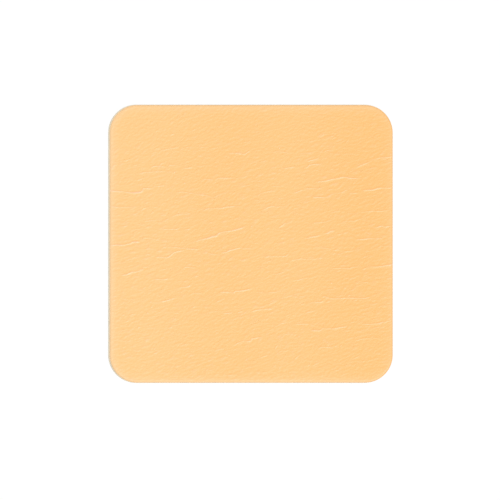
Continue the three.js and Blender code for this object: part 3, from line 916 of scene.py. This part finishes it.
class Nodes:
    """A material's node tree, with short calls that add a node and join it to others."""

    def __init__(self, name):
        self.material = bpy.data.materials.new(name)
        self.material.use_nodes = True
        self.tree = self.material.node_tree
        self.shader = self.tree.nodes["Principled BSDF"]
        self.output = self.tree.nodes["Material Output"]

    def add(self, kind, **settings):
        node = self.tree.nodes.new("ShaderNode" + kind)
        for name, value in settings.items():
            setattr(node, name, value)
        return node

    def link(self, source, target):
        self.tree.links.new(source, target)

    def values(self, name):
        """The numbers that a mesh keeps at its points under this name."""
        return self.add("Attribute", attribute_name=name).outputs["Fac"]

    def noise(self, scale, detail=2.0, stretch=(1, 1, 1), turn=0.0):
        """Noise in the piece's own space, stretched along axes that are turned about Z."""
        place = self.add("TexCoord")
        mapping = self.add("Mapping", vector_type="TEXTURE")
        mapping.inputs["Scale"].default_value = stretch
        mapping.inputs["Rotation"].default_value = (0, 0, turn)
        texture = self.add("TexNoise")
        texture.inputs["Scale"].default_value = scale
        texture.inputs["Detail"].default_value = detail
        self.link(place.outputs["Object"], mapping.inputs["Vector"])
        self.link(mapping.outputs["Vector"], texture.inputs["Vector"])
        return texture.outputs["Fac"]

    def mix(self, share, first, second):
        """A colour between two, each of them a colour or another node's output."""
        node = self.add("Mix", data_type="RGBA")
        for number, value in ((MIX_SHARE, share), (MIX_FIRST, first), (MIX_SECOND, second)):
            socket = node.inputs[number]
            if isinstance(value, bpy.types.NodeSocket):
                self.link(value, socket)
            else:
                socket.default_value = (*value, 1) if isinstance(value, tuple) else value
        return node.outputs[MIX_RESULT]

    def product(self, first, second):
        """One node's number times another's."""
        node = self.add("Math", operation="MULTIPLY")
        self.link(first, node.inputs[0])
        self.link(second, node.inputs[1])
        return node.outputs["Value"]

    def ranged(self, value, low, high, to_low=0.0, to_high=1.0):
        """A node's number, moved from one range to another and held inside it."""
        node = self.add("MapRange")
        self.link(value, node.inputs["Value"])
        node.inputs["From Min"].default_value = low
        node.inputs["From Max"].default_value = high
        node.inputs["To Min"].default_value = to_low
        node.inputs["To Max"].default_value = to_high
        return node.outputs["Result"]

    def bump(self, height, distance):
        """Lets the shader see a relief that the mesh doesn't have."""
        node = self.add("Bump")
        node.inputs["Distance"].default_value = distance
        self.link(height, node.inputs["Height"])
        self.link(node.outputs["Normal"], self.shader.inputs["Normal"])


def film_material():
    """Satin polyurethane film: tan, with a painted sheen towards the left, painted light at the rim, partly
    painted highlight on the crests, and a very fine grain.
    """
    nodes = Nodes("film_finish")
    deep = (0.965, 0.503, 0.127)
    pale = (0.965, 0.561, 0.191)
    # Crests are paler where the film stands off the foam, and their colour also carries part of a painted
    # highlight.
    crest = (0.965, 0.56, 0.32)
    # The rim colour is painted light: light through the film's rolled edge, and a lift against the shade of
    # the roll.
    rim = (0.965, 0.69, 0.42)
    # A painted sheen takes the film from deep to pale, most at the left, in broad bands of painted sheen
    # and shade.
    face = nodes.mix(nodes.values("painted_sheen"), deep, pale)
    face = nodes.mix(nodes.values("crest"), face, crest)
    share = nodes.ranged(nodes.values("rim"), 0, 1, 0, 0.5)
    nodes.link(nodes.mix(share, face, rim), nodes.shader.inputs["Base Color"])
    edge = nodes.values("edge")
    nodes.link(nodes.ranged(edge, 0, 1, 0.4, 0.65), nodes.shader.inputs["Roughness"])
    nodes.shader.inputs["IOR"].default_value = 1.5
    nodes.shader.inputs["Specular IOR Level"].default_value = 1.0
    grain = nodes.product(nodes.noise(1150, 2.0, (1.6, 1, 1), 0.3), nodes.ranged(edge, 0, 1, 1, 0.1))
    nodes.bump(grain, 0.066 * MM)
    return nodes.material


def foam_material():
    """Open-cell polyurethane foam: dull cream cell walls, with painted shade in the cells."""
    nodes = Nodes("foam_finish")
    walls = (0.95, 0.86, 0.68)
    # The cells' colour is painted shade in the hollows of the cut cells.
    cells = (0.72, 0.61, 0.44)
    stain = (0.91, 0.80, 0.60)
    tone = nodes.mix(nodes.ranged(nodes.noise(700, 3.0), 0.35, 0.65), walls, stain)
    share = nodes.ranged(nodes.values("pore_shade"), 0.1, 0.9, 0, 0.35)
    nodes.link(nodes.mix(share, tone, cells), nodes.shader.inputs["Base Color"])
    nodes.shader.inputs["Roughness"].default_value = 0.92
    nodes.shader.inputs["Specular IOR Level"].default_value = 0.25
    nodes.bump(nodes.noise(4200, 3.0), 0.05 * MM)
    return nodes.material


def silicone_material():
    """Soft tacky silicone: a pale satin skin with the foam's cells showing faintly through."""
    nodes = Nodes("silicone_finish")
    skin = (0.80, 0.70, 0.54)
    through = (0.70, 0.58, 0.41)
    spots = nodes.add("TexVoronoi")
    spots.inputs["Scale"].default_value = 900
    place = nodes.add("TexCoord")
    nodes.link(place.outputs["Object"], spots.inputs["Vector"])
    share = nodes.ranged(spots.outputs["Distance"], 0.2, 0.8, 0.6, 0)
    nodes.link(nodes.mix(share, skin, through), nodes.shader.inputs["Base Color"])
    nodes.shader.inputs["Roughness"].default_value = 0.32
    nodes.shader.inputs["Subsurface Weight"].default_value = 0.3
    nodes.shader.inputs["Subsurface Radius"].default_value = (0.0012, 0.0008, 0.0005)
    nodes.bump(nodes.noise(900, 3.0), 0.03 * MM)
    return nodes.material


def make_silicone(material):
    """The contact layer: a thin soft sheet under the foam, a touch rounded along its cut edge."""
    middles, ways = outline_path(silicone_step)
    count = len(middles)
    rings = []
    for inset, level in silicone_section:
        edge = middles + ways * (corner_radius - inset)
        rings.append(np.column_stack([edge, np.full(count, level)]))
    faces = stack_faces(len(rings), count)
    layer = mesh_piece("silicone_layer", np.concatenate(rings), faces, material)
    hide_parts("silicone_contact_layer")
    return layer


# The picture's frame: an orthographic look down on the pad, leaning a little towards its left side.
picture_span = 179.69 * MM
camera_lean = np.radians(6)
camera_distance = 0.8
camera_reach = 5
picture_middle = (0.0, -2.23 * MM)


def make_camera():
    lens = bpy.data.cameras.new("camera")
    lens.type = "ORTHO"
    lens.ortho_scale = picture_span
    lens.clip_end = camera_reach
    right = Vector((np.cos(camera_lean), 0, np.sin(camera_lean)))
    up = Vector((0, 1, 0))
    back = right.cross(up)
    turn = Matrix((right, up, back)).transposed().to_4x4()
    place = right * picture_middle[0] + up * picture_middle[1] + back * camera_distance
    camera = in_scene("camera", lens)
    camera.matrix_world = Matrix.Translation(place) @ turn
    bpy.context.scene.camera = camera


def make_light(name, azimuth, lean, distance, radius, radiance):
    """A round soft lamp aimed at the pad. It leans from the vertical towards an azimuth, in degrees."""
    lamp = bpy.data.lights.new(name, "AREA")
    lamp.shape = "DISK"
    lamp.size = 2 * radius
    lamp.energy = radiance * np.pi * np.pi * radius**2
    turn = np.radians(azimuth)
    tilt = np.radians(lean)
    way = Vector((np.sin(tilt) * np.cos(turn), np.sin(tilt) * np.sin(turn), np.cos(tilt)))
    light = in_scene(name, lamp)
    light.location = way * distance
    light.rotation_euler = way.to_track_quat("Z", "Y").to_euler()


def make_floor():
    """A plain white floor that looks white to the camera and keeps a soft trace of the pad's shadow."""
    nodes = Nodes("floor_finish")
    side = 1.2
    depth = 0.02 * MM
    nodes.shader.inputs["Base Color"].default_value = (0.9, 0.9, 0.9, 1)
    nodes.shader.inputs["Roughness"].default_value = 0.9
    nodes.shader.inputs["Specular IOR Level"].default_value = 0.1
    paint = nodes.add("BsdfDiffuse")
    paint.inputs["Color"].default_value = (0.06, 0.06, 0.06, 1)
    glow = nodes.add("Emission")
    glow.inputs["Color"].default_value = (1, 1, 1, 1)
    glow.inputs["Strength"].default_value = 0.96
    both = nodes.add("AddShader")
    path = nodes.add("LightPath")
    choose = nodes.add("MixShader")
    nodes.link(paint.outputs["BSDF"], both.inputs[0])
    nodes.link(glow.outputs["Emission"], both.inputs[1])
    nodes.link(path.outputs["Is Camera Ray"], choose.inputs["Fac"])
    nodes.link(nodes.shader.outputs["BSDF"], choose.inputs[1])
    nodes.link(both.outputs["Shader"], choose.inputs[2])
    nodes.link(choose.outputs["Shader"], nodes.output.inputs["Surface"])
    corners = [(-side, -side, -depth), (side, -side, -depth), (side, side, -depth), (-side, side, -depth)]
    mesh = bpy.data.meshes.new("floor")
    mesh.from_pydata(corners, [], [(0, 1, 2, 3)])
    mesh.materials.append(nodes.material)
    floor = in_scene("floor", mesh)


def make_world():
    """An even white dome, full white where the camera sees it."""
    world = bpy.data.worlds.new("studio")
    world.use_nodes = True
    tree = world.node_tree
    sky = tree.nodes["Background"]
    sky.inputs["Color"].default_value = (1, 1, 1, 1)
    sky.inputs["Strength"].default_value = 0.64
    seen = tree.nodes.new("ShaderNodeBackground")
    seen.inputs["Color"].default_value = (1, 1, 1, 1)
    path = tree.nodes.new("ShaderNodeLightPath")
    choose = tree.nodes.new("ShaderNodeMixShader")
    tree.links.new(path.outputs["Is Camera Ray"], choose.inputs["Fac"])
    tree.links.new(sky.outputs["Background"], choose.inputs[1])
    tree.links.new(seen.outputs["Background"], choose.inputs[2])
    tree.links.new(choose.outputs["Shader"], tree.nodes["World Output"].inputs["Surface"])
    bpy.context.scene.world = world


make_camera()
make_world()
make_light("key", azimuth=-50, lean=24, distance=4.0, radius=0.75, radiance=11.3)
make_light("fill", azimuth=125, lean=72, distance=4.0, radius=1.0, radiance=2.4)
make_floor()
finish = film_material()
film = make_film(finish)
ridges = [make_creases(finish), make_fine_creases(finish), make_specks(finish)]
make_foam(foam_material())
make_silicone(silicone_material())
bpy.context.scene.view_settings.view_transform = "Standard"
